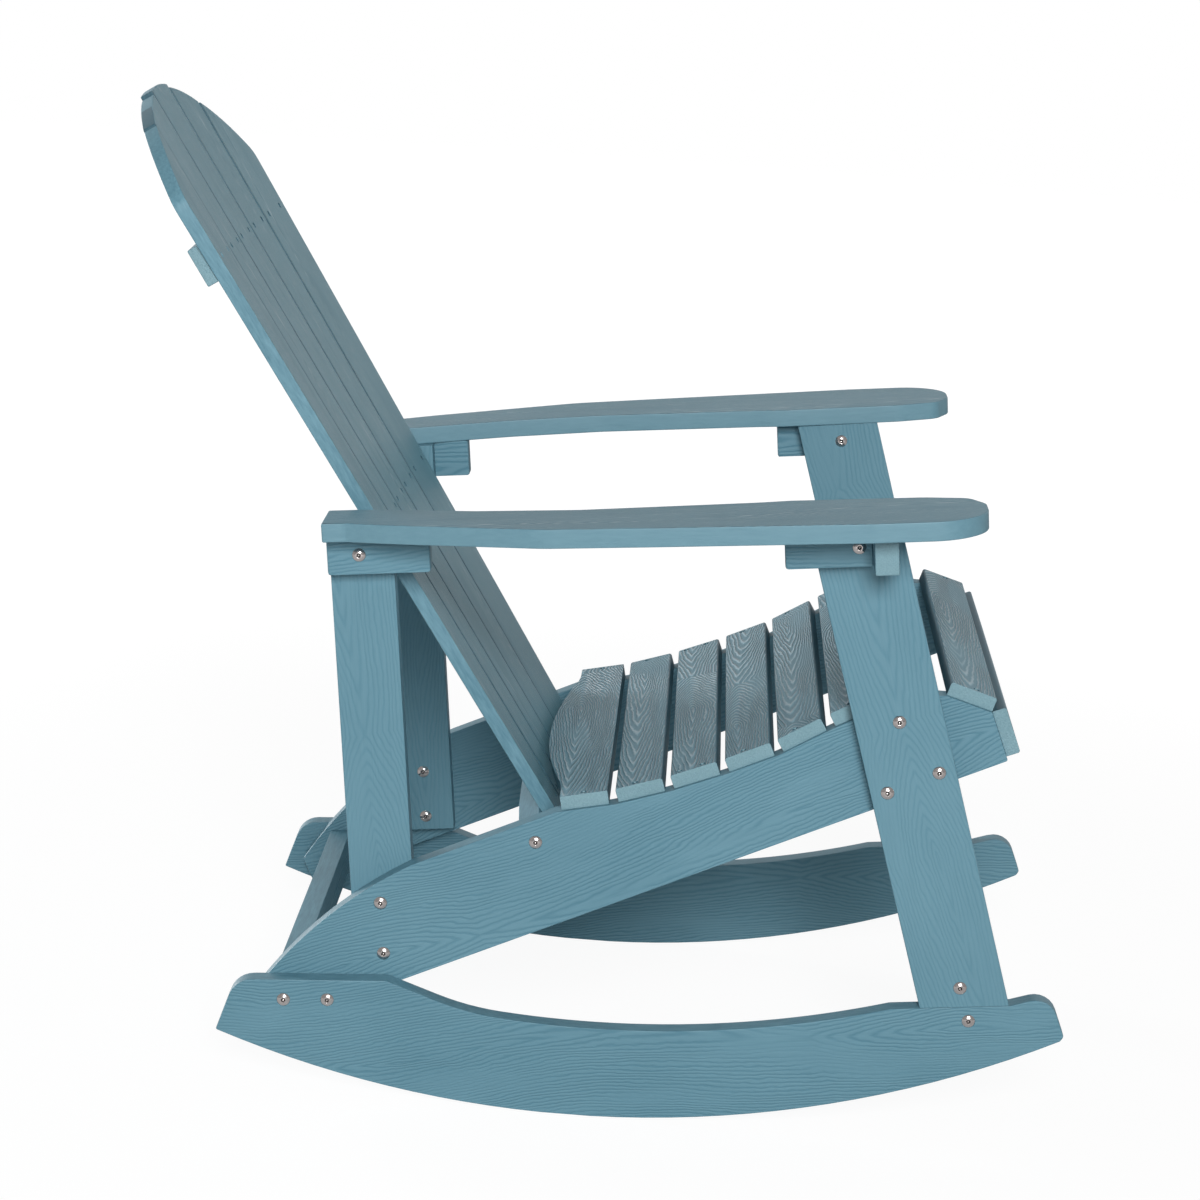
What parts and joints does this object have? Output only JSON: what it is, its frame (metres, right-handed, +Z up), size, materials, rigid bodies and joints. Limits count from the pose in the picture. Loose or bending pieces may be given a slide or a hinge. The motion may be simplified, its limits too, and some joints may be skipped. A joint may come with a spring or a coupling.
{
  "type": "rocking adirondack chair",
  "caption": "Slatted adirondack rocking chair of moulded blue lumber: fan back, scooped seat, wide arms, curved rockers and stainless bolts.",
  "frame": {"origin": "on the floor under the middle of the chair's bounding box, with the empty chair standing in balance on its rockers", "axes": "+Z up, -Y the way the sitter faces, +X towards the sitter's left arm"},
  "size_m": [0.734, 0.9847, 0.9621],
  "materials": {
    "lumber": "greyish blue moulded lumber with embossed wood grain, satin",
    "hardware": "bright stainless steel, domed heads with hex sockets"
  },
  "bodies": {
    "root": {"rocker_left": "lumber", "rocker_right": "lumber", "side_rail_left": "lumber", "side_rail_right": "lumber", "front_leg_left": "lumber", "front_leg_right": "lumber", "rear_post_left": "lumber", "rear_post_right": "lumber", "arm_left": "lumber", "arm_right": "lumber", "front_arm_bracket_left": "lumber", "front_arm_bracket_right": "lumber", "front_arm_block_left": "lumber", "front_arm_block_right": "lumber", "rear_arm_bracket_left": "lumber", "rear_arm_bracket_right": "lumber", "leg_splice_left": "lumber", "leg_splice_right": "lumber", "seat_slat_1": "lumber", "seat_slat_2": "lumber", "seat_slat_3": "lumber", "seat_slat_4": "lumber", "seat_slat_5": "lumber", "seat_slat_6": "lumber", "seat_slat_7": "lumber", "seat_slat_8": "lumber", "front_apron": "lumber", "back_slat_1": "lumber", "back_slat_2": "lumber", "back_slat_3": "lumber", "back_slat_4": "lumber", "back_slat_5": "lumber", "lower_back_support": "lumber", "mid_back_support": "lumber", "upper_back_support": "lumber", "rear_stretcher": "lumber", "frame_bolts": "hardware", "sleeve_nuts": "hardware", "support_bolts": "hardware", "barrel_nuts": "hardware", "seat_screws": "hardware", "apron_screws": "hardware", "back_screws": "hardware", "arm_screws": "hardware"}
  },
  "joints": []
}
